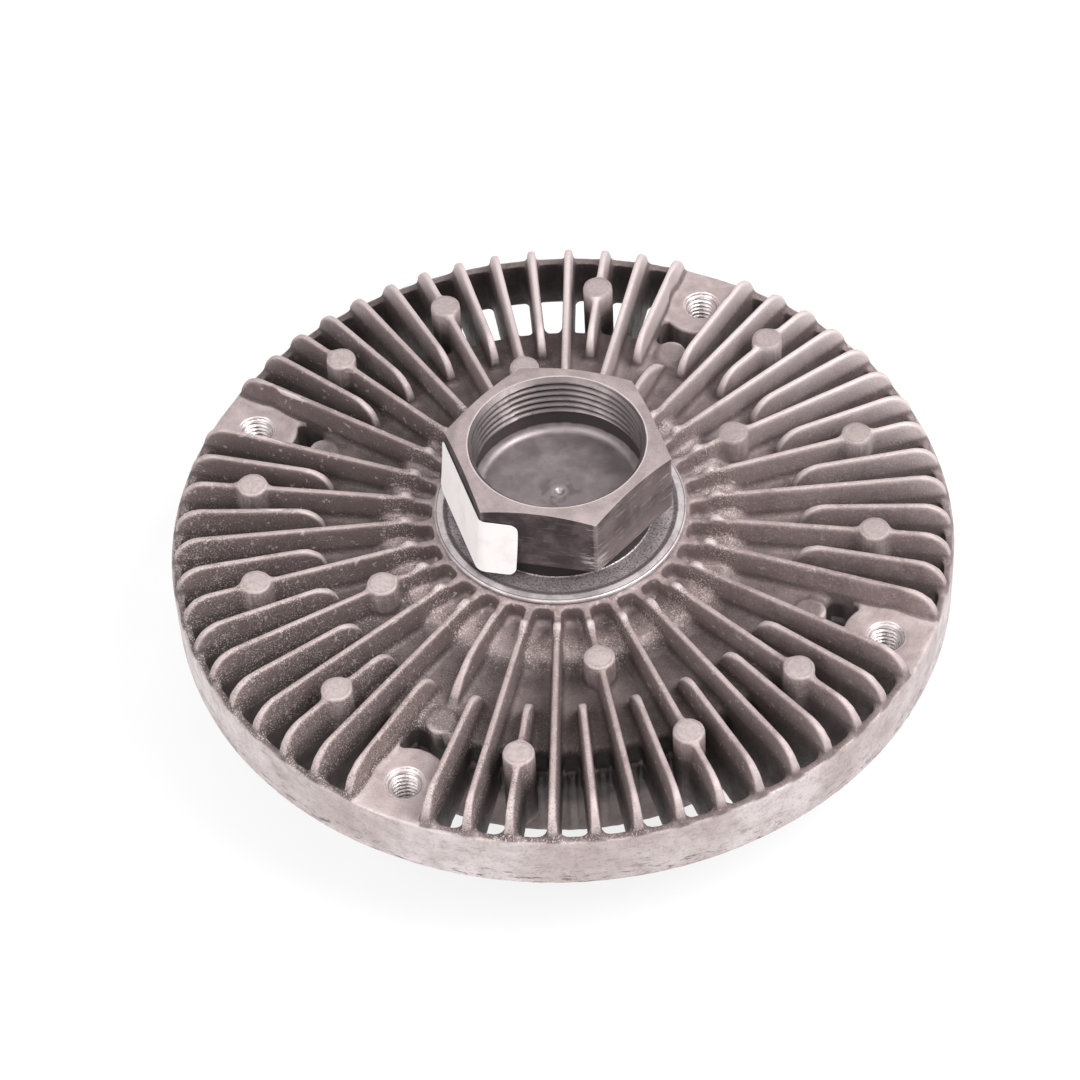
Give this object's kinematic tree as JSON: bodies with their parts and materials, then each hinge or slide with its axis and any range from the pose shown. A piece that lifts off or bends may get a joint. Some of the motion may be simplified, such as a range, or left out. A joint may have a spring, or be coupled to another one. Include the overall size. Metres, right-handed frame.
{
  "type": "viscous fan clutch",
  "caption": "Viscous fan clutch: finned drum with a spoked rim and tapped fan pads, turned through fluid by a rotor on a threaded hex nut shaft, with a bimetal valve in front.",
  "frame": {"origin": "on the axis, at the tips of the front fins that it lies on", "axes": "+Z along the clutch axis towards the drive nut, +X through one of the four fan pads"},
  "size_m": [0.144, 0.144, 0.0576],
  "materials": {
    "cast_aluminium": "as cast, dull, with baked-on dirt",
    "rotor_aluminium": "turned",
    "nut_steel": "turned top, dark oxidised flats",
    "shield_steel": "speckled, worn bright at the lip",
    "plate_steel": "pressed",
    "spring_steel": "rolled",
    "bimetal": "rolled bimetal",
    "bearing_steel": "ground",
    "seal_rubber": "matte black"
  },
  "bodies": {
    "housing": {"rear_housing": "cast_aluminium", "front_cover": "cast_aluminium", "cover_seal": "seal_rubber", "separator_plate": "plate_steel", "valve_leaf": "spring_steel", "valve_rivet": "plate_steel", "bimetal_strip": "bimetal", "pin_seal": "seal_rubber", "fill_plug": "plate_steel", "bearing_outer_race": "bearing_steel", "bearing_seal_rear": "seal_rubber", "bearing_seal_front": "seal_rubber"},
    "shaft": {"drive_shaft": "nut_steel", "dust_shield": "shield_steel", "bearing_inner_race": "bearing_steel", "rotor": "rotor_aluminium"},
    "ball_set": {"bearing_balls": "bearing_steel", "cage_half_rear": "plate_steel", "cage_half_front": "plate_steel", "cage_rivets": "plate_steel"},
    "pin": {"valve_pin": "bearing_steel"}
  },
  "joints": [
    {"name": "drive_spin", "type": "hinge", "parent": "housing", "child": "shaft", "pos_m": [0, 0, 0.0294], "axis": [0, 0, 1], "continuous": true},
    {"name": "ball_orbit", "type": "hinge", "parent": "housing", "child": "ball_set", "pos_m": [0, 0, 0.0294], "axis": [0, 0, 1], "continuous": true},
    {"name": "pin_stroke", "type": "slide", "parent": "housing", "child": "pin", "axis": [0, 0, -1], "range_m": [0, 0.0008], "stiffness_N_per_m": 2000, "deforming": ["bimetal_strip", "valve_leaf"]}
  ],
  "couplings": [
    {"joint": "ball_orbit", "follows": "drive_spin", "ratio": 0.38158}
  ]
}
